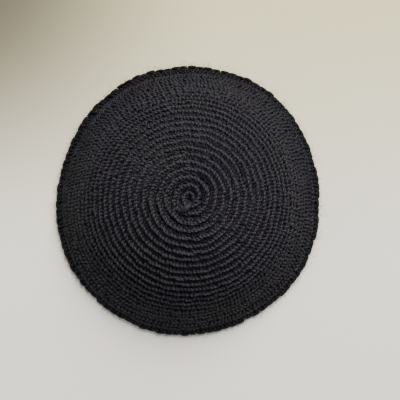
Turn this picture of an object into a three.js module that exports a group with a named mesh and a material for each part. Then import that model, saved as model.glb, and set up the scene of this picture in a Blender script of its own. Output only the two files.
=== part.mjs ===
// A crocheted skullcap, lying rim down: one dome worked outwards from the middle of the crown in a
// continuous spiral of single crochet, and the last round, whose larger stitches make a scalloped edging.
// Millimetres, +Z up. The origin is under the middle of the rim, on the surface that the cap rests on.
import * as THREE from "three";

// The fabric
const rounds = 24;
const rowHeightAtCrown = 4.65;
const rowHeightAtRim = 3.9;
const edgingRowHeight = 5; // the last round's stitches are taller
const eyeRadius = 0.8; // the small ring that the first round is worked into
const fabricThickness = 3.6;
const ribHeight = 0.55; // crest of a round above the fabric's mean outer face
const grooveDepth = 0.75; // groove between two rounds below it
const crownDimple = 1.1; // the first ring sits a little lower than the round about it

// How many degrees the fabric falls away from the horizontal, round by round. As the cap lies, its rim
// flares on one side, and its wall stays steep on the other.
const slopes = [
  { round: 0, flaredSide: 0, steepSide: 0 },
  { round: 3, flaredSide: 13, steepSide: 13 },
  { round: 6, flaredSide: 25, steepSide: 25 },
  { round: 9, flaredSide: 31, steepSide: 29 },
  { round: 12, flaredSide: 38, steepSide: 35 },
  { round: 15, flaredSide: 50, steepSide: 47 },
  { round: 18, flaredSide: 57, steepSide: 52 },
  { round: 21, flaredSide: 49, steepSide: 51 },
  { round: 24, flaredSide: 26, steepSide: 42 },
];
const flareDegrees = 75; // where the rim flares most, anticlockwise from +X

// The rim isn't a true circle: waves with this many lobes, their height, and where one of them peaks
const rimWaves = [
  { lobes: 2, height: 1.1, peakDegrees: 70 },
  { lobes: 3, height: 0.5, peakDegrees: -28 },
  { lobes: 4, height: 0.35, peakDegrees: -43 },
  { lobes: 5, height: 0.35, peakDegrees: -24 },
];
const wavesStartAtRound = 10; // the crown above it stays round

// The edging
const seamGap = 0.3; // between the crown's last round and the edging
const scallops = 100;
const scallopHeight = 0.45; // of a stitch's middle and of its ends, out of and into the mean edge
const scallopBulge = 0.4; // share of that height by which the scallops also stand out of the face

// The mesh
const crownColumns = 64;
const profileStepsPerRound = 40;
const spiralStart = 0.05; // the round at which the first rib's crest leaves the eye, at angle 0
const ribsBegin = 0.4; // ribs are drawn from this round on
const ribsEndBefore = 0.3; // and stop this share of a round short of the seam
const roundsPerInnerRow = 2; // the inside is smoother than the outside

const turn = 2 * Math.PI;
const radians = THREE.MathUtils.degToRad;

// Height of one row of stitches, which shrinks evenly from crown to rim, up to the edging's taller row.
function rowHeightAt(round) {
  if (round > rounds - 1) return edgingRowHeight;
  return THREE.MathUtils.lerp(rowHeightAtCrown, rowHeightAtRim, round / rounds);
}

function slopeAt(round, side) {
  const next = slopes.find((row) => row.round > round) ?? slopes.at(-1);
  const last = slopes.findLast((row) => row.round <= round);
  if (next === last) return radians(last[side]);
  const share = (round - last.round) / (next.round - last.round);
  return radians(THREE.MathUtils.lerp(last[side], next[side], share));
}

// The middle of the fabric along the meridian of one side, from the eye outwards and down. Its radius and
// drop are summed from the rows' heights and slopes, to a round past the rim, where the scallops reach.
function walkProfile(side) {
  const steps = (rounds + 1) * profileStepsPerRound;
  const profile = [{ radius: eyeRadius, drop: 0 }];
  for (let step = 0; step < steps; step++) {
    const middle = (step + 0.5) / profileStepsPerRound;
    const length = rowHeightAt(middle) / profileStepsPerRound;
    const before = profile[step];
    profile.push({
      radius: before.radius + length * Math.cos(slopeAt(middle, side)),
      drop: before.drop + length * Math.sin(slopeAt(middle, side)),
    });
  }
  return profile;
}

const profiles = { flaredSide: walkProfile("flaredSide"), steepSide: walkProfile("steepSide") };

// Radius, drop and slope of the fabric's middle at any round and angle, turned from the one side's profile
// to the other's by a cosine.
function fabricAt(round, angle) {
  const flare = (1 + Math.cos(angle - radians(flareDegrees))) / 2;
  const step = round * profileStepsPerRound;
  const low = Math.floor(step);
  const [flared, steep] = ["flaredSide", "steepSide"].map((side) => ({
    radius: THREE.MathUtils.lerp(profiles[side][low].radius, profiles[side][low + 1].radius, step - low),
    drop: THREE.MathUtils.lerp(profiles[side][low].drop, profiles[side][low + 1].drop, step - low),
    slope: slopeAt(round, side),
  }));
  return {
    radius: THREE.MathUtils.lerp(steep.radius, flared.radius, flare),
    drop: THREE.MathUtils.lerp(steep.drop, flared.drop, flare),
    slope: THREE.MathUtils.lerp(steep.slope, flared.slope, flare),
  };
}

// Half the fabric's thickness, seen vertically, lies under its middle at the rim.
const rim = fabricAt(rounds, radians(flareDegrees));
const crownHeight = rim.drop + (fabricThickness / 2) * Math.cos(rim.slope);

function rimWaveAt(angle, round) {
  const share = THREE.MathUtils.smoothstep(round, wavesStartAtRound, rounds);
  const sum = rimWaves.reduce(
    (total, wave) => total + wave.height * Math.cos(wave.lobes * (angle - radians(wave.peakDegrees))),
    0,
  );
  return share * sum;
}

// A point of the fabric: out along its normal by lift, and down along the meridian by along.
function fabricPoint(round, angle, lift = 0, along = 0) {
  const { radius, drop, slope } = fabricAt(round, angle);
  const out =
    radius + rimWaveAt(angle, round) + lift * Math.sin(slope) + along * Math.cos(slope);
  const height = crownHeight - drop + lift * Math.cos(slope) - along * Math.sin(slope);
  return new THREE.Vector3(out * Math.cos(angle), out * Math.sin(angle), height);
}

// One meridian of the crown, as points in order from the outer pole over the rim to the inner pole. Each
// has the place along the path that its neighbours are matched by. A rib's crest, and the groove after it,
// lie one row further out for each turn anticlockwise, because the rounds are one spiral.
function crownMeridian(column) {
  const angle = (turn * column) / crownColumns;
  const face = fabricThickness / 2;
  const edgeRound = rounds - 1;
  const points = [];
  const firstCrest = spiralStart + column / crownColumns;
  for (let half = 0; half <= 2 * edgeRound; half++) {
    const round = firstCrest + half / 2;
    if (round < ribsBegin || round > edgeRound - ribsEndBefore) continue;
    const lift = half % 2 === 0 ? face + ribHeight : face - grooveDepth;
    points.push({ path: round, at: fabricPoint(round, angle, lift) });
  }
  const seam = -seamGap / 2;
  points.push({ path: edgeRound, at: fabricPoint(edgeRound, angle, face - grooveDepth, seam) });
  points.push({ path: edgeRound + 1, at: fabricPoint(edgeRound, angle, -face, seam) });
  for (let round = edgeRound - roundsPerInnerRow; round >= 1; round -= roundsPerInnerRow) {
    points.push({ path: 2 * rounds - round, at: fabricPoint(round, angle, -face) });
  }
  return points;
}

// Turns the meridians into one closed surface: each is knitted to the next one, always by the point that
// comes first along the path, with a shared point at either pole.
function knitMeridians(meridians, outerPole, innerPole) {
  const vertices = [outerPole];
  const columns = meridians.map((points) => {
    const indices = points.map((point) => vertices.push(point.at) - 1);
    return { indices: [0, ...indices], path: [0, ...points.map((point) => point.path), Infinity] };
  });
  const innerIndex = vertices.push(innerPole) - 1;
  columns.forEach((column) => column.indices.push(innerIndex));

  const triangles = [];
  columns.forEach((here, column) => {
    const next = columns[(column + 1) % columns.length];
    let [i, j] = [0, 0];
    while (i < here.indices.length - 1 || j < next.indices.length - 1) {
      const corner = [here.indices[i], next.indices[j]];
      const hereIsDone = i === here.indices.length - 1;
      const nextIsDone = j === next.indices.length - 1;
      const stepHere = nextIsDone || (!hereIsDone && here.path[i + 1] <= next.path[j + 1]);
      const third = stepHere ? here.indices[++i] : next.indices[++j];
      const isFace = third !== corner[0] && third !== corner[1] && corner[0] !== corner[1];
      if (isFace) triangles.push(corner[0], third, corner[1]);
    }
  });
  return closedGeometry(vertices, triangles);
}

function closedGeometry(vertices, triangles) {
  const geometry = new THREE.BufferGeometry().setFromPoints(vertices);
  geometry.setIndex(triangles);
  geometry.computeVertexNormals();
  return geometry;
}

function makeCrown() {
  const meridians = Array.from({ length: crownColumns }, (_, column) => crownMeridian(column));
  const outerPole = new THREE.Vector3(0, 0, crownHeight + fabricThickness / 2 - crownDimple);
  const innerPole = new THREE.Vector3(0, 0, crownHeight - fabricThickness / 2 - crownDimple);
  return knitMeridians(meridians, outerPole, innerPole);
}

// The section of the edging, in order round it: how far out from the fabric's middle, how far down its row
// as a share of it, and how much of the scallops' height it takes. Feet stand on the surface.
function edgingSection() {
  const face = fabricThickness / 2;
  const seam = seamGap / 2 / edgingRowHeight;
  return [
    { lift: face - grooveDepth, row: seam, scallop: 0 },
    { lift: face + ribHeight, row: 0.3, scallop: 0.5 },
    { lift: face + 0.6 * ribHeight, row: 0.75, scallop: 1 },
    { lift: 0.1 * face, row: 1.08, scallop: 1 },
    { lift: -0.75 * face, row: 1, scallop: 1, foot: true },
    { lift: -face, row: 0.6, scallop: 0, foot: true },
    { lift: -face, row: 0.3, scallop: 0 },
    { lift: -face, row: seam, scallop: 0 },
  ];
}

// Two columns a stitch: one at its middle, which stands out, and one between it and the next stitch.
function makeEdging() {
  const section = edgingSection();
  const columns = 2 * scallops;
  const vertices = [];
  for (let column = 0; column < columns; column++) {
    const angle = (turn * column) / columns;
    const out = column % 2 === 0 ? scallopHeight : -scallopHeight;
    section.forEach(({ lift, row, scallop, foot }) => {
      const round = rounds - 1 + row;
      const point = fabricPoint(round, angle, lift + scallopBulge * scallop * out, scallop * out);
      if (foot) point.z = 0;
      vertices.push(point);
    });
  }
  const triangles = [];
  const corners = section.length;
  for (let column = 0; column < columns; column++) {
    const here = column * corners;
    const next = ((column + 1) % columns) * corners;
    for (let corner = 0; corner < corners; corner++) {
      const after = (corner + 1) % corners;
      triangles.push(here + corner, here + after, next + corner);
      triangles.push(next + corner, here + after, next + after);
    }
  }
  return closedGeometry(vertices, triangles);
}

const crownYarn = new THREE.MeshStandardMaterial({ color: 0x1e1e22, roughness: 0.95, metalness: 0 });
const edgingYarn = new THREE.MeshStandardMaterial({ color: 0x1b1a19, roughness: 0.97, metalness: 0 });

const crown = new THREE.Mesh(makeCrown(), crownYarn);
crown.name = "crown";
const edging = new THREE.Mesh(makeEdging(), edgingYarn);
edging.name = "edging";

const cap = new THREE.Group();
cap.add(crown, edging);

// The waves of the rim shift its middle a little, so the whole cap is moved back over the origin.
const middle = new THREE.Box3().setFromObject(edging).getCenter(new THREE.Vector3());
cap.position.set(-middle.x, -middle.y, 0);

export default cap;
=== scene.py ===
import math
import bpy
import numpy as np
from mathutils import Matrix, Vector


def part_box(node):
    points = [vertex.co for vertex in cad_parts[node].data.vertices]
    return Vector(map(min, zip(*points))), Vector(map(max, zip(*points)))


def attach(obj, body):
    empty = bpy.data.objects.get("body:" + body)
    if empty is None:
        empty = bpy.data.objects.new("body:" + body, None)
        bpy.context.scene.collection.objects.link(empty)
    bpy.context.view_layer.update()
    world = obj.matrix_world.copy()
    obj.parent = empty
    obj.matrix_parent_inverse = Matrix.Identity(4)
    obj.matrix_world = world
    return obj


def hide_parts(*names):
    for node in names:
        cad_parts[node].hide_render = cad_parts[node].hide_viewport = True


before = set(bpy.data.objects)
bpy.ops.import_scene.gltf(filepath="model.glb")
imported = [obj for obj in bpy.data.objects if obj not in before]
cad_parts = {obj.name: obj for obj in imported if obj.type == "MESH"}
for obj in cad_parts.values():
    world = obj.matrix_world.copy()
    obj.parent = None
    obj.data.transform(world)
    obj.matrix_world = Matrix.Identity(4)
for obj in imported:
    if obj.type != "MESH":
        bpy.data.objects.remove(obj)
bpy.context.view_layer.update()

mm = 0.001
fullTurn = 2 * math.pi

# Camera: straight above the cap and a little off its middle, as the photograph was taken
cameraSettings = {
    "place": (-0.0008, -0.0080, 0.504),
    "lookAt": (0.0075, 0.0000, 0.0),
    "lens": 71.2,
    "clipStart": 0.01,
}

# A pale surface with a warm tint and a painted shadow, lit by a soft window from the upper right and by a
# dimmer room
stageSettings = {
    "floorSize": 6.0,
    "floorRoughness": 0.6,
    "floorSpecular": 0.25,
    "floorColour": (0.86, 0.80, 0.70),
    "warmFloorColour": (0.64, 0.58, 0.32),  # behind the cap
    "warmSpan": (-0.06, 0.15),  # where it begins to turn warm, along y, and where it has
    "paintedShadowColour": (0.12, 0.105, 0.07),  # a painted shadow on the floor, round one place behind the cap and to its left
    "paintedShadowPlace": (-0.18, 0.18, 0.0),
    "paintedShadowSpan": (0.22, 0.07),  # how far from there the painted shadow begins to darken the floor, and where it is full
    "skyColour": (0.90, 0.94, 1.0),
    "skyStrength": 0.53,
    "windowPlace": (0.47, 1.29, 1.47),
    "windowSize": 1.5,
    "windowPower": 102.0,
    "windowColour": (1.0, 0.985, 0.96),
}


def addNode(tree, kind, feeds=None, **settings):
    made = tree.nodes.new(kind)
    for key, value in settings.items():
        setattr(made, key, value)
    for key, value in (feeds or {}).items():
        if isinstance(value, bpy.types.NodeSocket):
            tree.links.new(value, made.inputs[key])
        else:
            made.inputs[key].default_value = value
    return made


def maths(tree, operation, *values):
    return addNode(tree, "ShaderNodeMath", dict(enumerate(values)), operation=operation).outputs[0]


def vectorMaths(tree, operation, *values):
    return addNode(tree, "ShaderNodeVectorMath", dict(enumerate(values)), operation=operation).outputs[0]


def scaled(tree, vector, size):
    return addNode(tree, "ShaderNodeVectorMath", {0: vector, "Scale": size}, operation="SCALE").outputs[0]


def blendOf(tree, share, low, high):
    return addNode(tree, "ShaderNodeMix", {0: share, 2: low, 3: high}).outputs[0]


def vectorBlendOf(tree, share, low, high):
    return addNode(tree, "ShaderNodeMix", {0: share, 4: low, 5: high}, data_type="VECTOR").outputs[1]


def mapped(tree, value, span, onto):
    feeds = {"Value": value, "From Min": span[0], "From Max": span[1], "To Min": onto[0], "To Max": onto[1]}
    return addNode(tree, "ShaderNodeMapRange", feeds).outputs[0]


def eased(tree, value, span):
    feeds = {"Value": value, "From Min": span[0], "From Max": span[1]}
    return addNode(tree, "ShaderNodeMapRange", feeds, interpolation_type="SMOOTHSTEP").outputs[0]


def colourBlendOf(tree, share, *colours):
    low, high = (colour if isinstance(colour, bpy.types.NodeSocket) else (*colour, 1) for colour in colours)
    return addNode(tree, "ShaderNodeMix", {0: share, 6: low, 7: high}, data_type="RGBA").outputs[2]


def noiseAt(tree, place, scale, more=None):
    feeds = {"Vector": place, "Scale": scale} | (more or {})
    return addNode(tree, "ShaderNodeTexNoise", feeds).outputs


def startMaterial(name, specular):
    material = bpy.data.materials.new(name)
    material.use_nodes = True
    shader = material.node_tree.nodes["Principled BSDF"]
    shader.inputs["Specular IOR Level"].default_value = specular
    return material, material.node_tree, shader


def turnedTowards(place, target):
    across, away, down = Vector(target) - Vector(place)
    pitch = math.atan2(away, math.hypot(across, down))
    return (pitch, math.atan2(-across, -down), 0)


def linkObject(name, data):
    made = bpy.data.objects.new(name, data)
    bpy.context.scene.collection.objects.link(made)
    return made


def makeCamera(settings):
    data = bpy.data.cameras.new("photoCamera")
    data.lens = settings["lens"]
    data.clip_start = settings["clipStart"]
    camera = linkObject("photoCamera", data)
    camera.location = settings["place"]
    camera.rotation_euler = turnedTowards(settings["place"], settings["lookAt"])
    bpy.context.scene.camera = camera


def makeWindowLight(settings):
    data = bpy.data.lights.new("windowLight", "AREA")
    data.size = settings["windowSize"]
    data.energy = settings["windowPower"]
    data.color = settings["windowColour"]
    light = linkObject("windowLight", data)
    light.location = settings["windowPlace"]
    light.rotation_euler = turnedTowards(settings["windowPlace"], (0, 0, 0))


def makeSky(settings):
    world = bpy.data.worlds.new("softSky")
    world.use_nodes = True
    background = world.node_tree.nodes["Background"]
    background.inputs["Color"].default_value = (*settings["skyColour"], 1)
    background.inputs["Strength"].default_value = settings["skyStrength"]
    bpy.context.scene.world = world


def makeFloor(settings):
    half = settings["floorSize"] / 2
    corners = [(-half, -half, 0), (half, -half, 0), (half, half, 0), (-half, half, 0)]
    mesh = bpy.data.meshes.new("floor")
    mesh.from_pydata(corners, [], [(0, 1, 2, 3)])
    material, tree, shader = startMaterial("paleSurface", settings["floorSpecular"])
    shader.inputs["Roughness"].default_value = settings["floorRoughness"]
    place = addNode(tree, "ShaderNodeTexCoord").outputs["Object"]
    away = addNode(tree, "ShaderNodeSeparateXYZ", {0: place}).outputs[1]
    warmShare = eased(tree, away, settings["warmSpan"])
    colour = colourBlendOf(tree, warmShare, settings["floorColour"], settings["warmFloorColour"])
    # A painted shadow on the floor, round one place behind the cap and to its left
    feeds = {0: place, 1: settings["paintedShadowPlace"]}
    distance = addNode(tree, "ShaderNodeVectorMath", feeds, operation="DISTANCE").outputs["Value"]
    paintedShadowShare = eased(tree, distance, settings["paintedShadowSpan"])
    colour = colourBlendOf(tree, paintedShadowShare, colour, settings["paintedShadowColour"])
    tree.links.new(colour, shader.inputs["Base Color"])
    mesh.materials.append(material)
    linkObject("floor", mesh)


makeCamera(cameraSettings)
makeWindowLight(stageSettings)
makeSky(stageSettings)
makeFloor(stageSettings)
print("camera, light and floor are in place")

# The fabric's shape, in millimetres and degrees: the same dome as the solids have. A place on it is a round
# and an angle, and the yarn is led over it later.
fabricSettings = {
    "rounds": 24,
    "rowHeightAtCrown": 4.65,
    "rowHeightAtRim": 3.9,
    "edgingRowHeight": 5.0,
    "eyeRadius": 0.8,
    "thickness": 3.6,
    "dimpleDepth": 1.1,
    "dimpleRounds": 1.3,
    "flareDegrees": 75,
    "wavesStartAtRound": 10,
    "stepsPerRound": 40,
    "guideRounds": 25,  # the guide reaches past the rim, where the scallops end
    "guideColumns": 240,
    "guideRowsPerRound": 4,
}
# How many degrees the fabric falls away from the horizontal
slopes = [
    {"round": 0, "flaredSide": 0, "steepSide": 0},
    {"round": 3, "flaredSide": 13, "steepSide": 13},
    {"round": 6, "flaredSide": 25, "steepSide": 25},
    {"round": 9, "flaredSide": 31, "steepSide": 29},
    {"round": 12, "flaredSide": 38, "steepSide": 35},
    {"round": 15, "flaredSide": 50, "steepSide": 47},
    {"round": 18, "flaredSide": 57, "steepSide": 52},
    {"round": 21, "flaredSide": 49, "steepSide": 51},
    {"round": 24, "flaredSide": 26, "steepSide": 42},
]
# The rim isn't a true circle
rimWaves = [
    {"lobes": 2, "height": 1.1, "peakDegrees": 70},
    {"lobes": 3, "height": 0.5, "peakDegrees": -28},
    {"lobes": 4, "height": 0.35, "peakDegrees": -43},
    {"lobes": 5, "height": 0.35, "peakDegrees": -24},
]


def fromTable(rounds, rows, key):
    return np.interp(rounds, [row["round"] for row in rows], [row[key] for row in rows])


def smoothShare(value, low, high):
    share = np.clip((value - low) / (high - low), 0, 1)
    return share * share * (3 - 2 * share)


def rowHeightAt(rounds):
    fabric = fabricSettings
    share = rounds / fabric["rounds"]
    height = fabric["rowHeightAtCrown"] * (1 - share) + fabric["rowHeightAtRim"] * share
    return np.where(rounds > fabric["rounds"] - 1, fabric["edgingRowHeight"], height)


def slopeAt(rounds, side):
    return np.radians(fromTable(rounds, slopes, side))


def walkProfile(side):
    fabric = fabricSettings
    steps = fabric["guideRounds"] * fabric["stepsPerRound"]
    middles = (np.arange(steps) + 0.5) / fabric["stepsPerRound"]
    lengths = rowHeightAt(middles) / fabric["stepsPerRound"]
    angles = slopeAt(middles, side)
    return {
        "rounds": np.arange(steps + 1) / fabric["stepsPerRound"],
        "radius": fabric["eyeRadius"] + np.concatenate([[0], np.cumsum(lengths * np.cos(angles))]),
        "drop": np.concatenate([[0], np.cumsum(lengths * np.sin(angles))]),
    }


profiles = {side: walkProfile(side) for side in ("flaredSide", "steepSide")}


def fabricAt(rounds, angle):
    flare = (1 + np.cos(angle - math.radians(fabricSettings["flareDegrees"]))) / 2
    sides = []
    for side in ("steepSide", "flaredSide"):
        profile = profiles[side]
        radius = np.interp(rounds, profile["rounds"], profile["radius"])
        drop = np.interp(rounds, profile["rounds"], profile["drop"])
        sides.append(np.array([radius, drop, slopeAt(rounds, side)]))
    return sides[0] * (1 - flare) + sides[1] * flare


def rimWaveAt(rounds, angle):
    share = smoothShare(rounds, fabricSettings["wavesStartAtRound"], fabricSettings["rounds"])
    total = 0
    for wave in rimWaves:
        total = total + wave["height"] * np.cos(wave["lobes"] * (angle - math.radians(wave["peakDegrees"])))
    return share * total


def guidePoints(rounds, angle):
    fabric = fabricSettings
    rimRadius, rimDrop, rimSlope = fabricAt(fabric["rounds"], math.radians(fabric["flareDegrees"]))
    crownHeight = rimDrop + fabric["thickness"] / 2 * math.cos(rimSlope)
    radius, drop, slope = fabricAt(rounds, angle)
    dimple = fabric["dimpleDepth"] * (1 - smoothShare(rounds, 0, fabric["dimpleRounds"]))
    out = radius + rimWaveAt(rounds, angle)
    place = np.array([out * np.cos(angle), out * np.sin(angle), crownHeight - drop - dimple])
    outward = np.array([np.sin(slope) * np.cos(angle), np.sin(slope) * np.sin(angle), np.cos(slope)])
    return place.T, outward.T


# How far the dome is moved sideways, so that its rim is centred where the edging's solid is
def capShift():
    angles = np.linspace(0, fullTurn, 721)  # every half degree
    rim = guidePoints(0 * angles + fabricSettings["rounds"], angles)[0][:, :2]
    low, high = np.array(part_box("edging"))[:, :2]
    return (low + high) / 2 / mm - (rim.min(axis=0) + rim.max(axis=0)) / 2


def makeGuide():
    fabric = fabricSettings
    columns = fabric["guideColumns"] + 1
    rows = fabric["guideRounds"] * fabric["guideRowsPerRound"] + 1
    turns = np.tile(np.linspace(0, 1, columns), rows)
    rounds = np.repeat(np.linspace(0, fabric["guideRounds"], rows), columns)
    place, outward = guidePoints(rounds, turns * fullTurn)
    place[:, :2] += capShift()

    first = (np.arange(rows - 1)[:, None] * columns + np.arange(columns - 1)).ravel()
    faces = np.stack([first, first + columns, first + columns + 1, first + 1], axis=1)
    mesh = bpy.data.meshes.new("fabricGuide")
    mesh.from_pydata((place * mm).tolist(), [], faces.tolist())
    mesh.attributes.new("outward", "FLOAT_VECTOR", "POINT").data.foreach_set("vector", outward.ravel())
    chart = np.stack([turns, rounds / fabric["guideRounds"], 0 * turns], axis=1)
    mesh.attributes.new("chart", "FLOAT_VECTOR", "POINT").data.foreach_set("vector", chart.ravel())
    return linkObject("fabricGuide", mesh)


guide = makeGuide()
print("the fabric's guide is ready")

# The stitches. They are counted along one spiral that widens anticlockwise, and each hangs in the head of
# a stitch one turn before it.
stitchWidths = [
    {"round": 0, "width": 4.0},
    {"round": 6, "width": 4.05},
    {"round": 12, "width": 4.4},
    {"round": 18, "width": 4.55},
    {"round": 21, "width": 4.75},
    {"round": 24, "width": 5.2},
]
spiralSettings = {
    "firstRing": 6,  # stitches worked into the eye
    "crestOfFirst": 0.05,  # the round at which the first row's crest leaves the eye
    "firstRingLag": 0.4,  # how much less than evenly the first ring widens, where it starts
    "turns": 23.2,
    "lastTurnShrinks": 0.5,  # the last turn's rows end this share lower, so that the rim is nearly level
    "taperStitches": 6,  # so many get shorter at the end, so that the spiral runs out,
    "shortestStitch": 0.12,  # down to this share of a whole one
    "headPlace": -0.38,  # the middle of a stitch's head, in stitches from its legs
    "holePlace": -0.13,  # where its own foot is
    "holesShowBetween": (0, 8),  # in the first rounds the stitches share no holes yet
    "ridgedToRound": 13,  # the rounds stand up as ridges as far as here,
    "flatFromRound": 23,  # and are pulled flat from here on
    "edgingStitches": 100,
    "edgingSpare": 2,  # stitches counted again before and after them, so that its ends meet
    "edgingTop": 23.93,
}

# Behind the fabric nothing presses on the yarn, so it is fuller there, above all in the first rounds
fullnessBehind = [
    {"round": 3, "fullness": 2.5},
    {"round": 7, "fullness": 2.1},
    {"round": 12, "fullness": 1.8},
    {"round": 18, "fullness": 1.6},
    {"round": 24, "fullness": 2.0},
]


def rowTopAt(turns):
    spiral = spiralSettings
    firstTurn = np.clip(turns, 0, 1)
    lag = spiral["firstRingLag"] * firstTurn * (1 - firstTurn**2)
    top = turns + 0.5 + spiral["crestOfFirst"] - lag
    intoLastTurn = np.clip(turns - (spiral["turns"] - 1), 0, 1)
    return top - spiral["lastTurnShrinks"] * intoLastTurn


def rowFootAt(turns):
    return np.where(turns < 1, 0, rowTopAt(np.maximum(turns, 1) - 1))


def spiralTurns():
    spiral = spiralSettings
    places = [n / spiral["firstRing"] for n in range(spiral["firstRing"])]
    while places[-1] < spiral["turns"]:
        here = places[-1]
        crest = here + spiral["crestOfFirst"]
        radius = fabricAt(crest, here * fullTurn)[0]
        width = fromTable(crest, stitchWidths, "width")
        places.append(here + width / (fullTurn * radius))
    return np.array(places)


def nearestHead(turns, heads):
    after = np.clip(np.searchsorted(heads, turns), 1, len(heads) - 1)
    before = after - 1
    takeAfter = heads[after] - turns < turns - heads[before]
    return np.where(takeAfter, heads[after], heads[before])


def layCrownStitches():
    spiral = spiralSettings
    turns = spiralTurns()
    steps = np.gradient(turns)
    heads = turns + spiral["headPlace"] * steps
    holes = nearestHead(turns + spiral["holePlace"] * steps - 1, heads) + 1
    holes = turns + (holes - turns) * smoothShare(turns, *spiral["holesShowBetween"])
    foot = rowFootAt(turns)
    top = rowTopAt(turns)
    left = np.arange(len(turns))[::-1] / spiral["taperStitches"]
    top = foot + (top - foot) * np.clip(left, spiral["shortestStitch"], 1)
    flatness = smoothShare(turns, spiral["ridgedToRound"], spiral["flatFromRound"])
    fullness = fromTable(turns, fullnessBehind, "fullness")
    stitches = {"turn": turns, "hole": holes, "step": steps, "foot": foot, "top": top}
    return stitches | {"flatness": flatness, "fullness": fullness}


def layEdgingStitches(crown):
    spiral = spiralSettings
    count = spiral["edgingStitches"]
    numbers = np.arange(-spiral["edgingSpare"], count + spiral["edgingSpare"] + 1)
    turns = numbers / count + 1
    lastTurn = crown["turn"] > crown["turn"][-1] - 1
    phase = crown["turn"][lastTurn] % 1
    order = np.argsort(phase)
    topRound = crown["top"][lastTurn][order]
    foot = np.interp(turns % 1, phase[order], topRound, period=1)
    steps = np.full(len(turns), 1 / count)
    # The same heads again and again, turn after turn
    heads = (crown["turn"] + spiral["headPlace"] * crown["step"])[lastTurn] % 1
    heads = np.sort(np.concatenate([heads - 1, heads, heads + 1, heads + 2, heads + 3]))
    holes = nearestHead(turns + spiral["holePlace"] * steps, heads)
    top = 0 * turns + spiral["edgingTop"]
    stitches = {"turn": turns, "hole": holes, "step": steps, "foot": foot, "top": top}
    return stitches | {"flatness": 0 * turns, "fullness": 0 * turns + fullnessBehind[-1]["fullness"]}


def makeChart(name, stitches):
    count = len(stitches["turn"])
    mesh = bpy.data.meshes.new(name)
    mesh.from_pydata([(n, 0, 0) for n in range(count)], [], [])
    for key, values in stitches.items():
        mesh.attributes.new(key, "FLOAT", "POINT").data.foreach_set("value", np.asarray(values, dtype=float))
    return linkObject(name, mesh)


crownStitches = layCrownStitches()
edgingStitches = layEdgingStitches(crownStitches)
crownCount = len(crownStitches["turn"])
print("stitches:", crownCount, "in the crown,", spiralSettings["edgingStitches"], "in the edging")

# The yarn's way through one stitch, in the crown where the rounds stand up as ridges, and in the wall where
# they are pulled flatter. Along is counted in stitches, anticlockwise; up is counted in rows, from the row's
# foot to its head; out is counted in yarn radii from the middle of the fabric.
ridgedStitch = [
    {"along": -0.55, "up": 0.62, "out": -1.30},  # behind the hole, from the stitch before
    {"along": -0.64, "up": 0.34, "out": -1.40},
    {"along": -0.50, "up": 0.18, "out": -1.40},
    {"along": -0.28, "up": 0.10, "out": -1.05},  # through the hole to the front
    {"along": -0.28, "up": 0.20, "out": -0.60},
    {"along": -0.36, "up": 0.38, "out": -0.10},
    {"along": -0.39, "up": 0.52, "out": 0.80},
    {"along": -0.27, "up": 0.59, "out": 1.55},  # the first leg
    {"along": -0.14, "up": 0.64, "out": 1.20},
    {"along": -0.06, "up": 0.72, "out": 0.20},
    {"along": -0.01, "up": 0.66, "out": -0.50},
    {"along": 0.01, "up": 0.52, "out": -0.10},
    {"along": 0.06, "up": 0.53, "out": 0.80},
    {"along": 0.19, "up": 0.59, "out": 1.55},  # the second leg
    {"along": 0.33, "up": 0.64, "out": 1.20},
    {"along": 0.40, "up": 0.72, "out": 0.20},
    {"along": 0.31, "up": 0.55, "out": -0.60},
    {"along": 0.16, "up": 0.28, "out": -0.60},
    {"along": 0.04, "up": 0.12, "out": -1.05},  # through the hole to the back
    {"along": 0.02, "up": 0.24, "out": -1.45},
    {"along": 0.12, "up": 0.50, "out": -1.45},
    {"along": 0.22, "up": 0.66, "out": -0.80},  # through its own arch, and on into the head
    {"along": 0.40, "up": 0.73, "out": 0.05},
    {"along": 0.68, "up": 0.72, "out": 0.40},
    {"along": 0.95, "up": 0.73, "out": 0.10},
    {"along": 0.64, "up": 0.88, "out": -1.15},
]
flatStitch = [
    {"along": -0.62, "up": 0.60, "out": -1.25},
    {"along": -0.68, "up": 0.30, "out": -1.35},
    {"along": -0.45, "up": 0.18, "out": -1.40},
    {"along": -0.24, "up": 0.06, "out": -1.00},
    {"along": -0.25, "up": 0.02, "out": -0.20},
    {"along": -0.26, "up": 0.14, "out": 0.55},
    {"along": -0.27, "up": 0.36, "out": 1.00},
    {"along": -0.27, "up": 0.60, "out": 1.15},
    {"along": -0.24, "up": 0.80, "out": 0.90},
    {"along": -0.12, "up": 0.90, "out": 0.30},
    {"along": 0.00, "up": 0.92, "out": 0.10},
    {"along": 0.11, "up": 0.90, "out": 0.25},
    {"along": 0.22, "up": 0.80, "out": 0.85},
    {"along": 0.24, "up": 0.60, "out": 1.15},
    {"along": 0.22, "up": 0.36, "out": 1.00},
    {"along": 0.16, "up": 0.14, "out": 0.55},
    {"along": 0.11, "up": 0.04, "out": 0.00},
    {"along": 0.06, "up": 0.00, "out": -0.60},
    {"along": 0.04, "up": 0.06, "out": -1.10},
    {"along": 0.05, "up": 0.26, "out": -1.42},
    {"along": 0.12, "up": 0.52, "out": -1.45},
    {"along": 0.18, "up": 0.76, "out": -1.05},
    {"along": 0.20, "up": 0.90, "out": -0.20},
    {"along": 0.50, "up": 0.93, "out": 0.35},
    {"along": 0.94, "up": 0.91, "out": 0.05},
    {"along": 0.50, "up": 0.98, "out": -0.90},
]
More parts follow.
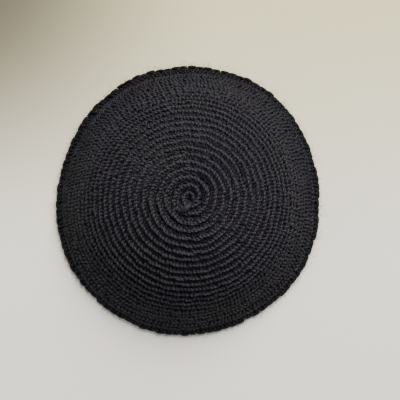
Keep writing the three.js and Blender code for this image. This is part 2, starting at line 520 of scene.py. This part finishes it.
# The edging's legs lie deep, under a thick head that makes the scallops
edgingStitch = [
    {"along": -0.62, "up": 0.60, "out": -1.25},
    {"along": -0.68, "up": 0.30, "out": -1.35},
    {"along": -0.45, "up": 0.12, "out": -1.40},
    {"along": -0.26, "up": 0.00, "out": -1.05},
    {"along": -0.22, "up": 0.02, "out": -0.50},
    {"along": -0.22, "up": 0.16, "out": 0.20},
    {"along": -0.25, "up": 0.34, "out": 0.65},
    {"along": -0.26, "up": 0.52, "out": 0.75},
    {"along": -0.22, "up": 0.68, "out": 0.55},
    {"along": -0.06, "up": 0.78, "out": 0.10},
    {"along": 0.10, "up": 0.78, "out": 0.10},
    {"along": 0.22, "up": 0.68, "out": 0.55},
    {"along": 0.25, "up": 0.52, "out": 0.75},
    {"along": 0.20, "up": 0.34, "out": 0.65},
    {"along": 0.12, "up": 0.16, "out": 0.20},
    {"along": 0.04, "up": 0.02, "out": -0.50},
    {"along": -0.02, "up": 0.00, "out": -1.05},
    {"along": 0.02, "up": 0.20, "out": -1.40},
    {"along": 0.12, "up": 0.50, "out": -1.45},
    {"along": 0.18, "up": 0.74, "out": -1.10},
    {"along": 0.12, "up": 0.90, "out": -0.10},
    {"along": 0.22, "up": 0.97, "out": 0.85},
    {"along": 0.60, "up": 0.98, "out": 1.00},
    {"along": 0.98, "up": 0.97, "out": 0.70},
    {"along": 0.72, "up": 1.03, "out": -0.60},
    {"along": 0.22, "up": 0.96, "out": -1.00},
]
yarnSettings = {
    "radius": 0.85 * mm,
    "sides": 8,
    "pointsPerStitch": 28,
    "pointsPerEdgingStitch": 44,
    "unevenness": 0.07,
    "lumpScale": 180.0,
    "lumpGain": 4.0,  # because noise seldom strays more than a quarter from its middle
    "looseness": 0.12,
    "pullShares": (1, 1, 3),  # how much of it each stitch may be pulled along, up and out
    "wander": 1.6 * mm,  # how unevenly the rows run
    "wanderLength": 16 * mm,
    "fullnessInWall": 1.20,
    "behindSpan": (-0.6, -1.3),  # out of the fabric's middle, where it begins to be behind, and where it is
    "holeHolds": 0.8,  # as far up its row the yarn still leans towards its own hole
    "restsAt": 1.1,  # how high the middle of the lowest yarn is, counted in its own radius
    "seed": 7,
}


# A smooth way through the knots, which goes on into the next stitch
def smoothPath(knots, samples):
    points = np.array([[knot["along"], knot["up"], knot["out"]] for knot in knots])
    count = len(points)
    nextStitch = np.array([1, 0, 0])
    wrapped = np.concatenate([points[-1:] - nextStitch, points, points[:2] + nextStitch])
    places = np.arange(samples) * count / samples
    whole = places.astype(int)
    t = (places - whole)[:, None]
    a, b, c, d = (wrapped[whole + offset] for offset in range(4))
    return 0.5 * (2 * b + (c - a) * t + (2 * a - 5 * b + 4 * c - d) * t**2 + (3 * b - a - 3 * c + d) * t**3)


def makeTemplate(name, knots, samples):
    mesh = bpy.data.meshes.new(name)
    mesh.from_pydata(smoothPath(knots, samples).tolist(), [], [])
    return linkObject(name, mesh)


def positionOf(tree):
    return addNode(tree, "GeometryNodeInputPosition").outputs[0]


def named(tree, name, kind):
    return addNode(tree, "GeometryNodeInputNamedAttribute", {"Name": name}, data_type=kind).outputs[0]


def geometryOf(tree, thing):
    return addNode(tree, "GeometryNodeObjectInfo", {"Object": thing}).outputs["Geometry"]


def sampled(tree, geometry, value, index, kind):
    feeds = {"Geometry": geometry, "Value": value, "Index": index}
    return addNode(tree, "GeometryNodeSampleIndex", feeds, data_type=kind, clamp=True).outputs[0]


def stored(tree, geometry, name, value, kind):
    feeds = {"Geometry": geometry, "Name": name, "Value": value}
    return addNode(tree, "GeometryNodeStoreNamedAttribute", feeds, data_type=kind, domain="POINT").outputs[0]


def startTree(name, sizes):
    tree = bpy.data.node_groups.new(name, "GeometryNodeTree")
    tree.interface.new_socket("Geometry", in_out="INPUT", socket_type="NodeSocketGeometry")
    tree.interface.new_socket("Geometry", in_out="OUTPUT", socket_type="NodeSocketGeometry")
    for label, kind in sizes.items():
        tree.interface.new_socket(label, in_out="INPUT", socket_type="NodeSocket" + kind)
    return tree, tree.nodes.new("NodeGroupInput").outputs


# Every tree ends in real faces with their material.
def endTree(tree, geometry, material):
    smooth = addNode(tree, "GeometryNodeSetShadeSmooth", {"Geometry": geometry}).outputs[0]
    whole = addNode(tree, "GeometryNodeRealizeInstances", {"Geometry": smooth}).outputs[0]
    dressed = addNode(tree, "GeometryNodeSetMaterial", {"Geometry": whole, "Material": material}).outputs[0]
    addNode(tree, "NodeGroupOutput", {0: dressed})


# A yarn round a curve. It keeps the length along it and the side of it that each point is on, for its twist.
def yarnRound(tree, curve, given):
    length = addNode(tree, "GeometryNodeSplineParameter").outputs["Length"]
    curve = stored(tree, curve, "alongYarn", length, "FLOAT")
    feeds = {"Resolution": given["Sides"], "Radius": given["Yarn radius"]}
    section = addNode(tree, "GeometryNodeCurvePrimitiveCircle", feeds, mode="RADIUS").outputs[0]
    side = vectorMaths(tree, "NORMALIZE", positionOf(tree))
    section = stored(tree, section, "roundYarn", side, "FLOAT_VECTOR")
    lumps = noiseAt(tree, positionOf(tree), yarnSettings["lumpScale"], {"Detail": 1.0})[0]
    lumps = maths(tree, "SUBTRACT", lumps, 0.5)
    unevenness = maths(tree, "MULTIPLY", given["Unevenness"], yarnSettings["lumpGain"])
    swell = maths(tree, "MULTIPLY", lumps, unevenness)
    radius = addNode(tree, "GeometryNodeInputRadius").outputs[0]
    size = maths(tree, "MULTIPLY", radius, maths(tree, "ADD", swell, 1.0))
    feeds = {"Curve": curve, "Profile Curve": section, "Scale": size, "Fill Caps": True}
    return addNode(tree, "GeometryNodeCurveToMesh", feeds).outputs[0]


# Nothing goes into the surface that the cap lies on.
def keptAbove(tree, place, height):
    x, y, z = addNode(tree, "ShaderNodeSeparateXYZ", {0: place}).outputs
    raised = maths(tree, "MAXIMUM", z, height)
    return addNode(tree, "ShaderNodeCombineXYZ", {0: x, 1: y, 2: raised}).outputs[0]


# Reads the chart of the stitches at a whole stitch, or between two.
def chartReader(tree, chart):
    mesh = geometryOf(tree, chart)

    def read(name, number):
        return sampled(tree, mesh, named(tree, name, "FLOAT"), number, "FLOAT")

    def readBetween(name, number):
        whole = maths(tree, "FLOOR", number)
        part = maths(tree, "SUBTRACT", number, whole)
        return blendOf(tree, part, read(name, whole), read(name, maths(tree, "ADD", whole, 1)))

    return read, readBetween


# The place of the yarn in its stitch: along, up and out. No two stitches are pulled quite alike.
def placeInStitch(tree, given, pathIndex, stitchNumber, flatness):
    def pathOf(stitch):
        return sampled(tree, geometryOf(tree, given[stitch]), positionOf(tree), pathIndex, "FLOAT_VECTOR")

    path = vectorBlendOf(tree, flatness, pathOf("Ridged stitch"), pathOf("Flat stitch"))
    most = yarnSettings["pullShares"]
    feeds = {"Min": [-share for share in most], "Max": most, "ID": stitchNumber, "Seed": given["Seed"]}
    pull = addNode(tree, "FunctionNodeRandomValue", feeds, data_type="FLOAT_VECTOR").outputs[0]
    loose = vectorMaths(tree, "ADD", path, scaled(tree, pull, given["Looseness"]))
    return addNode(tree, "ShaderNodeSeparateXYZ", {0: loose}).outputs


# From a turn and a round of the chart onto the dome, and out from it.
def ontoDome(tree, given, turns, rounds, lift):
    guideMesh = geometryOf(tree, given["Guide"])
    down = maths(tree, "DIVIDE", rounds, given["Guide rounds"])
    chartPlace = addNode(tree, "ShaderNodeCombineXYZ", {0: maths(tree, "FRACT", turns), 1: down}).outputs[0]

    def onGuide(value):
        feeds = {"Mesh": guideMesh, "Value": value, "UV Map": named(tree, "chart", "FLOAT_VECTOR")}
        feeds["Sample UV"] = chartPlace
        return addNode(tree, "GeometryNodeSampleUVSurface", feeds, data_type="FLOAT_VECTOR").outputs[0]

    outward = scaled(tree, onGuide(named(tree, "outward", "FLOAT_VECTOR")), lift)
    return vectorMaths(tree, "ADD", onGuide(positionOf(tree)), outward)


def crochetTree():
    sizes = {"Guide": "Object", "Chart": "Object", "Ridged stitch": "Object", "Flat stitch": "Object"}
    sizes |= {"First stitch": "Int", "Stitches": "Int", "Points per stitch": "Int", "Guide rounds": "Float"}
    sizes |= {"Hole place": "Float", "Yarn radius": "Float", "Sides": "Int", "Unevenness": "Float"}
    sizes |= {"Looseness": "Float", "Wander": "Float", "Wander length": "Float", "Seed": "Int"}
    sizes |= {"Fullness in wall": "Float", "Yarn": "Material"}
    tree, given = startTree("crochetYarn", sizes)

    # One point for each step of the yarn, which knows its stitch and its place in the stitch's path
    perStitch = given["Points per stitch"]
    points = maths(tree, "ADD", maths(tree, "MULTIPLY", given["Stitches"], perStitch), 1)
    line = addNode(tree, "GeometryNodeMeshLine", {"Count": points, "Offset": (mm, 0, 0)}).outputs[0]
    index = addNode(tree, "GeometryNodeInputIndex").outputs[0]
    counted = maths(tree, "DIVIDE", maths(tree, "ADD", index, 0.5), perStitch)
    stitchNumber = maths(tree, "FLOOR", counted)
    pathIndex = maths(tree, "SUBTRACT", index, maths(tree, "MULTIPLY", stitchNumber, perStitch))
    number = maths(tree, "ADD", stitchNumber, given["First stitch"])
    read, readBetween = chartReader(tree, given["Chart"])
    flatness = read("flatness", number)
    along, up, out = placeInStitch(tree, given, pathIndex, number, flatness)[:3]

    # Its foot keeps to its own hole, and its head follows the row, so that neighbours meet
    here = maths(tree, "ADD", number, along)
    fromHole = maths(tree, "SUBTRACT", along, given["Hole place"])
    fromHole = maths(tree, "MULTIPLY", fromHole, read("step", number))
    footTurn = maths(tree, "ADD", read("hole", number), fromHole)
    followsRow = eased(tree, up, (0.0, yarnSettings["holeHolds"]))
    turns = blendOf(tree, followsRow, footTurn, readBetween("turn", here))
    foot = readBetween("foot", here)
    height = maths(tree, "SUBTRACT", readBetween("top", here), foot)
    rounds = maths(tree, "MAXIMUM", maths(tree, "ADD", foot, maths(tree, "MULTIPLY", up, height)), 0.0)

    lift = maths(tree, "MULTIPLY", out, given["Yarn radius"])
    behind = mapped(tree, out, yarnSettings["behindSpan"], (1.0, read("fullness", number)))
    inWall = blendOf(tree, flatness, 1.0, given["Fullness in wall"])
    fullness = maths(tree, "MULTIPLY", behind, inWall)
    line = stored(tree, line, "fullness", fullness, "FLOAT")
    line = stored(tree, line, "depth", out, "FLOAT")
    place = ontoDome(tree, given, turns, rounds, lift)

    # The rows run a little unevenly
    wavePlace = scaled(tree, place, maths(tree, "DIVIDE", 1.0, given["Wander length"]))
    wave = noiseAt(tree, wavePlace, 1.0)["Color"]
    wave = vectorMaths(tree, "SUBTRACT", wave, (0.5, 0.5, 0.5))
    sideways = vectorMaths(tree, "MULTIPLY", wave, (1, 1, 0))
    place = vectorMaths(tree, "ADD", place, scaled(tree, sideways, given["Wander"]))

    # The cap lies on its lowest yarn
    ownRadius = maths(tree, "MULTIPLY", fullness, given["Yarn radius"])
    place = keptAbove(tree, place, maths(tree, "MULTIPLY", ownRadius, yarnSettings["restsAt"]))
    led = addNode(tree, "GeometryNodeSetPosition", {"Geometry": line, "Position": place}).outputs[0]
    curve = addNode(tree, "GeometryNodeMeshToCurve", {0: led}).outputs[0]
    feeds = {"Curve": curve, "Radius": named(tree, "fullness", "FLOAT")}
    curve = addNode(tree, "GeometryNodeSetCurveRadius", feeds).outputs[0]
    endTree(tree, yarnRound(tree, curve, given), given["Yarn"])
    return tree


def setInputs(modifier, values):
    sockets = {item.name: item for item in modifier.node_group.interface.items_tree if item.in_out == "INPUT"}
    for name, value in values.items():
        modifier[sockets[name].identifier] = value


# Runs a tree once and keeps what it made as a plain mesh
def bakePiece(name, tree, values):
    holder = linkObject(name + "Holder", bpy.data.meshes.new(name + "Holder"))
    modifier = holder.modifiers.new("nodes", "NODES")
    modifier.node_group = tree
    setInputs(modifier, values)
    evaluated = holder.evaluated_get(bpy.context.evaluated_depsgraph_get())
    mesh = bpy.data.meshes.new_from_object(evaluated)
    mesh.name = name
    bpy.data.objects.remove(holder)
    piece = linkObject(name, mesh)
    print(name, "has", sum(len(face.vertices) - 2 for face in mesh.polygons), "triangles")
    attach(piece, "root")
    return piece


# The yarns are black. Each is a few plies twisted together, of fibres that shine a little.
crownFinish = {
    "colour": (0.0082, 0.0075, 0.0108),
    "fadedColour": (0.0300, 0.0276, 0.0338),
    # the painted shade deep in the grooves between the stitches
    "paintedGrooveShadeColour": (0.0042, 0.0036, 0.0070),
    "paintedLightHeights": (3 * mm, 55 * mm),  # painted light and shade by height: the yarn is painted darker towards the foot and lighter towards the top, where the light falls
    "paintedShadeBelow": (0.42, 0.41, 0.57),
    "paintedLightAbove": (1.42, 1.40, 1.40),
    "tintSize": 24 * mm,
    "tintShare": 0.22,
    "paintedGrooveShadeDepths": (-0.5, 0.95),  # painted shade in the grooves between the stitches, darker deeper in, counted in yarn radii out of the fabric
    "colourKeptInGrooveShade": 0.08,
    "patchSize": 11 * mm,
    "roughness": (0.22, 0.46),  # each fibre has its own, between these
    "specular": 0.17,
    "plies": 3,
    "plyRoundness": 0.6,
    "twistLength": 6.6 * mm,
    "plyDepth": 0.42 * mm,
    "plySpan": (0.3, 0.9),
    "paintedPlyShadeAndHighlight": (0.45, 1.15),  # painted shade between two plies and painted highlight on top of one: how dark it is between them, and how pale on top of one
    "fibreSpan": (0.3, 0.7),
    "fibresRound": 9.0,
    "fibreLength": 0.9 * mm,
    "fibreDepth": 0.14 * mm,
}
edgingFinish = crownFinish | {
    "colour": (0.0084, 0.0075, 0.0088),
    "fadedColour": (0.0225, 0.0200, 0.0198),
    "specular": 0.14,
    # the edging's grooves get less painted shade
    "colourKeptInGrooveShade": 0.70,
}
startFinish = crownFinish | {
    # Less painted light on the loose end's top
    "paintedLightAbove": (1.05, 1.03, 1.04),
    # Less painted shade in its grooves
    "colourKeptInGrooveShade": 0.9,
    "specular": 0.10,
    # Weaker painted shade between its plies and painted highlight on them
    "paintedPlyShadeAndHighlight": (0.75, 1.0),
    "plyDepth": 0.20 * mm,
    "fibreDepth": 0.14 * mm,
    "twistLength": 18 * mm,
}


def attributeOf(tree, name):
    return addNode(tree, "ShaderNodeAttribute", attribute_name=name).outputs


def makeYarnMaterial(name, finish):
    material, tree, shader = startMaterial(name, finish["specular"])

    # The side of the yarn, turned with its twist, and the plies that lie there
    along = attributeOf(tree, "alongYarn")["Fac"]
    side = attributeOf(tree, "roundYarn")["Vector"]
    feeds = {"Vector": side, "Angle": maths(tree, "MULTIPLY", along, fullTurn / finish["twistLength"])}
    turned = addNode(tree, "ShaderNodeVectorRotate", feeds, rotation_type="Z_AXIS").outputs[0]
    across, upwards, _ = addNode(tree, "ShaderNodeSeparateXYZ", {0: turned}).outputs
    angle = maths(tree, "ARCTAN2", upwards, across)
    wave = maths(tree, "COSINE", maths(tree, "MULTIPLY", angle, finish["plies"] / 2))
    ply = maths(tree, "POWER", maths(tree, "ABSOLUTE", wave), finish["plyRoundness"])

    # Its fibres, stretched along it
    stretched = maths(tree, "DIVIDE", along, finish["fibreLength"])
    stretched = addNode(tree, "ShaderNodeCombineXYZ", {2: stretched}).outputs[0]
    fibrePlace = vectorMaths(tree, "ADD", scaled(tree, turned, finish["fibresRound"]), stretched)
    fibre = noiseAt(tree, fibrePlace, 1.0, {"Detail": 3.0})[0]
    plyHeight = maths(tree, "MULTIPLY", ply, finish["plyDepth"])
    fibreHeight = maths(tree, "MULTIPLY", fibre, finish["fibreDepth"])
    feeds = {"Strength": 1.0, "Distance": 1.0, "Height": maths(tree, "ADD", plyHeight, fibreHeight)}
    bump = addNode(tree, "ShaderNodeBump", feeds).outputs[0]
    tree.links.new(bump, shader.inputs["Normal"])

    # Dye and wear are a little uneven from place to place, and from fibre to fibre
    objectPlace = addNode(tree, "ShaderNodeTexCoord").outputs["Object"]
    patch = noiseAt(tree, objectPlace, 1 / finish["patchSize"], {"Detail": 4.0, "Roughness": 0.7})[0]
    fade = maths(tree, "MULTIPLY", maths(tree, "ADD", patch, fibre), 0.5)
    colour = colourBlendOf(tree, fade, finish["colour"], finish["fadedColour"])
    # Painted shade between the plies and painted highlight on top of each
    colour = scaled(tree, colour, mapped(tree, ply, finish["plySpan"], finish["paintedPlyShadeAndHighlight"]))
    # Painted light and shade by height: lighter towards the top, darker towards the foot
    height = addNode(tree, "ShaderNodeSeparateXYZ", {0: objectPlace}).outputs[2]
    paintedLightByHeight = mapped(tree, height, finish["paintedLightHeights"], (0.0, 1.0))
    paintedLightByHeight = colourBlendOf(tree, paintedLightByHeight, finish["paintedShadeBelow"], finish["paintedLightAbove"])
    tint = noiseAt(tree, objectPlace, 1 / finish["tintSize"])["Color"]
    tint = vectorBlendOf(tree, finish["tintShare"], (1.0, 1.0, 1.0), scaled(tree, tint, 2.0))
    colour = vectorMaths(tree, "MULTIPLY", vectorMaths(tree, "MULTIPLY", colour, paintedLightByHeight), tint)
    # Painted shade in the grooves between the stitches, darker deeper in
    depth = attributeOf(tree, "depth")["Fac"]
    paintedGrooveShade = mapped(tree, depth, finish["paintedGrooveShadeDepths"], (finish["colourKeptInGrooveShade"], 1.0))
    colour = colourBlendOf(tree, paintedGrooveShade, finish["paintedGrooveShadeColour"], colour)
    tree.links.new(colour, shader.inputs["Base Color"])
    tree.links.new(mapped(tree, fibre, finish["fibreSpan"], finish["roughness"]), shader.inputs["Roughness"])
    return material


crownYarn = makeYarnMaterial("crownYarn", crownFinish)
edgingYarn = makeYarnMaterial("edgingYarn", edgingFinish)
startYarn = makeYarnMaterial("startYarn", startFinish)
print("the yarns are dyed")

# The crown's one strand, in four stretches, and the edging
crownStretches = [
    {"name": "crownTop", "fromRound": 0, "toRound": 10.5},
    {"name": "crownShoulder", "fromRound": 10.5, "toRound": 15.5},
    {"name": "crownWall", "fromRound": 15.5, "toRound": 19.5},
    {"name": "crownFoot", "fromRound": 19.5, "toRound": fabricSettings["rounds"]},
]
crochet = crochetTree()
ridgedTemplate = makeTemplate("ridgedStitch", ridgedStitch, yarnSettings["pointsPerStitch"])
flatTemplate = makeTemplate("flatStitch", flatStitch, yarnSettings["pointsPerStitch"])
edgingTemplate = makeTemplate("edgingStitch", edgingStitch, yarnSettings["pointsPerEdgingStitch"])
crownChart = makeChart("crownChart", crownStitches)
edgingChart = makeChart("edgingChart", edgingStitches)


def crochetPiece(name, chart, stitches, first, count, material):
    yarn = yarnSettings
    guideRounds = float(fabricSettings["guideRounds"])
    values = {"Guide": guide, "Chart": chart, "Ridged stitch": stitches[0], "Flat stitch": stitches[1]}
    values |= {"First stitch": first, "Stitches": count, "Points per stitch": len(stitches[0].data.vertices)}
    values |= {"Guide rounds": guideRounds, "Hole place": spiralSettings["holePlace"]}
    values |= {"Yarn radius": yarn["radius"], "Sides": yarn["sides"], "Unevenness": yarn["unevenness"]}
    values |= {"Looseness": yarn["looseness"], "Fullness in wall": yarn["fullnessInWall"]}
    values |= {"Wander": yarn["wander"], "Wander length": yarn["wanderLength"]}
    values |= {"Seed": yarn["seed"], "Yarn": material}
    return bakePiece(name, crochet, values)


for stretch in crownStretches:
    turns = crownStitches["turn"]
    numbers = np.flatnonzero((turns >= stretch["fromRound"]) & (turns < stretch["toRound"]))
    templates = (ridgedTemplate, flatTemplate)
    piece = crochetPiece(stretch["name"], crownChart, templates, int(numbers[0]), len(numbers), crownYarn)
    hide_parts("crown")
templates = (edgingTemplate, edgingTemplate)
first, count = spiralSettings["edgingSpare"], spiralSettings["edgingStitches"]
edging = crochetPiece("edgingRound", edgingChart, templates, first, count, edgingYarn)
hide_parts("edging")

# The loose end that the work began with. It comes out beside the eye and goes in under the second ring.
startEndSettings = {
    "radius": 1.45 * mm,
    "sides": 16,
    "unevenness": 0.05,
    "way": [
        {"round": 0.48, "degrees": -58, "lift": -1.5, "size": 0.7},
        {"round": 0.58, "degrees": -72, "lift": 1.2, "size": 0.95},
        {"round": 0.82, "degrees": -94, "lift": 2.7, "size": 1.15},
        {"round": 1.18, "degrees": -109, "lift": 2.7, "size": 1.25},
        {"round": 1.52, "degrees": -118, "lift": 1.6, "size": 1.1},
        {"round": 1.74, "degrees": -124, "lift": -1.5, "size": 0.7},
    ],
}


def makeStartCurve(settings):
    way = settings["way"]
    rounds = np.array([step["round"] for step in way])
    place, outward = guidePoints(rounds, np.radians([step["degrees"] for step in way]))
    place = place + outward * np.array([[step["lift"]] for step in way])
    place[:, :2] += capShift()
    data = bpy.data.curves.new("startEnd", "CURVE")
    data.dimensions = "3D"
    spline = data.splines.new("NURBS")
    spline.points.add(len(way) - 1)
    for point, where, step in zip(spline.points, place, way):
        point.co = (*(where * mm), 1)
        point.radius = step["size"]
    spline.use_endpoint_u = True
    spline.order_u = 4
    spline.resolution_u = 6
    return linkObject("startEndCurve", data)


def strandTree():
    sizes = {"Curve": "Object", "Yarn radius": "Float", "Sides": "Int", "Unevenness": "Float"}
    sizes |= {"Yarn": "Material"}
    tree, given = startTree("singleStrand", sizes)
    endTree(tree, yarnRound(tree, geometryOf(tree, given["Curve"]), given), given["Yarn"])
    return tree


startCurve = makeStartCurve(startEndSettings)
startValues = {"Curve": startCurve, "Yarn radius": startEndSettings["radius"], "Yarn": startYarn}
startValues |= {"Sides": startEndSettings["sides"], "Unevenness": startEndSettings["unevenness"]}
startEnd = bakePiece("startEnd", strandTree(), startValues)
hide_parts("crown")

# Fine fibres that have worked loose from the yarn
fuzzSettings = {
    "hairsPerArea": 80000.0,  # for each square metre
    "moreAtRim": 8.0,  # times as many again along the rim
    "rimFromRound": 23.3,
    "rootLift": 1.5 * mm,  # out from the fabric's middle
    "length": 4.6 * mm,
    "lengthShares": (0.3, 1.3),
    "radius": 0.045 * mm,
    "bend": ((0, 0, 0), (0.1, 0, 0.6), (0.6, 0, 0.8)),  # counted in its length
    "lean": 1.2,  # radians
    "waveScale": 350.0,
    "pastRim": 0.1,  # rounds beyond the rim's middle
    "seed": 11,
    "darkColour": (0.007, 0.006, 0.007),
    "paleColour": (0.040, 0.038, 0.044),
    "shadeScale": 90.0,
    "roughness": 0.6,
    "specular": 0.2,
}


def fuzzTree():
    sizes = {"Guide": "Object", "Rim": "Float", "Hairs per area": "Float", "Length": "Float"}
    sizes |= {"Radius": "Float", "Rim starts": "Float", "More at rim": "Float", "Root lift": "Float"}
    sizes |= {"Seed": "Int", "Fuzz": "Material"}
    tree, given = startTree("yarnFuzz", sizes)
    chart = addNode(tree, "ShaderNodeSeparateXYZ", {0: named(tree, "chart", "FLOAT_VECTOR")}).outputs
    pastRim = maths(tree, "GREATER_THAN", chart[1], given["Rim"])
    feeds = {"Geometry": geometryOf(tree, given["Guide"]), "Selection": pastRim}
    cap = addNode(tree, "GeometryNodeDeleteGeometry", feeds, domain="POINT").outputs[0]
    atRim = maths(tree, "GREATER_THAN", chart[1], given["Rim starts"])
    more = maths(tree, "ADD", maths(tree, "MULTIPLY", atRim, given["More at rim"]), 1.0)
    density = maths(tree, "MULTIPLY", given["Hairs per area"], more)
    feeds = {"Mesh": cap, "Density": density, "Seed": given["Seed"]}
    scatter = addNode(tree, "GeometryNodeDistributePointsOnFaces", feeds, distribute_method="RANDOM").outputs

    # Each hair is a bent line of its own length, leaning its own way
    feeds = {"Resolution": 4} | dict(zip(("Start", "Middle", "End"), fuzzSettings["bend"]))
    hair = addNode(tree, "GeometryNodeCurveQuadraticBezier", feeds).outputs[0]
    lean = fuzzSettings["lean"]
    feeds = {"Min": (-lean, -lean, 0), "Max": (lean, lean, fullTurn), "Seed": given["Seed"]}
    leaning = addNode(tree, "FunctionNodeRandomValue", feeds, data_type="FLOAT_VECTOR").outputs[0]
    feeds = {"Rotation": scatter["Rotation"], "Rotate By": leaning}
    turned = addNode(tree, "FunctionNodeRotateRotation", feeds, rotation_space="LOCAL").outputs[0]
    shortest, longest = fuzzSettings["lengthShares"]
    feeds = {2: shortest, 3: longest, "Seed": given["Seed"]}
    share = addNode(tree, "FunctionNodeRandomValue", feeds, data_type="FLOAT").outputs[1]
    lift = scaled(tree, scatter["Normal"], given["Root lift"])
    feeds = {"Geometry": scatter["Points"], "Offset": lift}
    roots = addNode(tree, "GeometryNodeSetPosition", feeds).outputs[0]
    feeds = {"Points": roots, "Instance": hair, "Rotation": turned}
    feeds["Scale"] = maths(tree, "MULTIPLY", share, given["Length"])
    hairs = addNode(tree, "GeometryNodeInstanceOnPoints", feeds).outputs[0]
    hairs = addNode(tree, "GeometryNodeRealizeInstances", {"Geometry": hairs}).outputs[0]

    # They wave a little
    wave = noiseAt(tree, positionOf(tree), fuzzSettings["waveScale"], {"Detail": 1.0})["Color"]
    wave = scaled(tree, vectorMaths(tree, "SUBTRACT", wave, (0.5, 0.5, 0.5)), given["Length"])
    moved = keptAbove(tree, vectorMaths(tree, "ADD", positionOf(tree), wave), given["Radius"])
    hairs = addNode(tree, "GeometryNodeSetPosition", {"Geometry": hairs, "Position": moved}).outputs[0]
    feeds = {"Resolution": 3, "Radius": given["Radius"]}
    section = addNode(tree, "GeometryNodeCurvePrimitiveCircle", feeds, mode="RADIUS").outputs[0]
    feeds = {"Curve": hairs, "Profile Curve": section, "Fill Caps": True}
    endTree(tree, addNode(tree, "GeometryNodeCurveToMesh", feeds).outputs[0], given["Fuzz"])
    return tree


def makeFuzzMaterial(settings):
    material, tree, shader = startMaterial("looseFibre", settings["specular"])
    shader.inputs["Roughness"].default_value = settings["roughness"]
    objectPlace = addNode(tree, "ShaderNodeTexCoord").outputs["Object"]
    shade = noiseAt(tree, objectPlace, settings["shadeScale"])[0]
    colour = colourBlendOf(tree, shade, settings["darkColour"], settings["paleColour"])
    tree.links.new(colour, shader.inputs["Base Color"])
    return material


def fuzzValues(settings):
    rounds = fabricSettings["rounds"]
    guideRounds = fabricSettings["guideRounds"]
    values = {"Guide": guide, "Rim": (rounds + settings["pastRim"]) / guideRounds}
    values |= {"Rim starts": settings["rimFromRound"] / guideRounds, "More at rim": settings["moreAtRim"]}
    values |= {"Hairs per area": settings["hairsPerArea"], "Root lift": settings["rootLift"]}
    values |= {"Length": settings["length"], "Radius": settings["radius"], "Seed": settings["seed"]}
    return values | {"Fuzz": makeFuzzMaterial(settings)}


fuzz = bakePiece("looseFibres", fuzzTree(), fuzzValues(fuzzSettings))

for helper in (guide, ridgedTemplate, flatTemplate, edgingTemplate, crownChart, edgingChart, startCurve):
    bpy.data.objects.remove(helper)
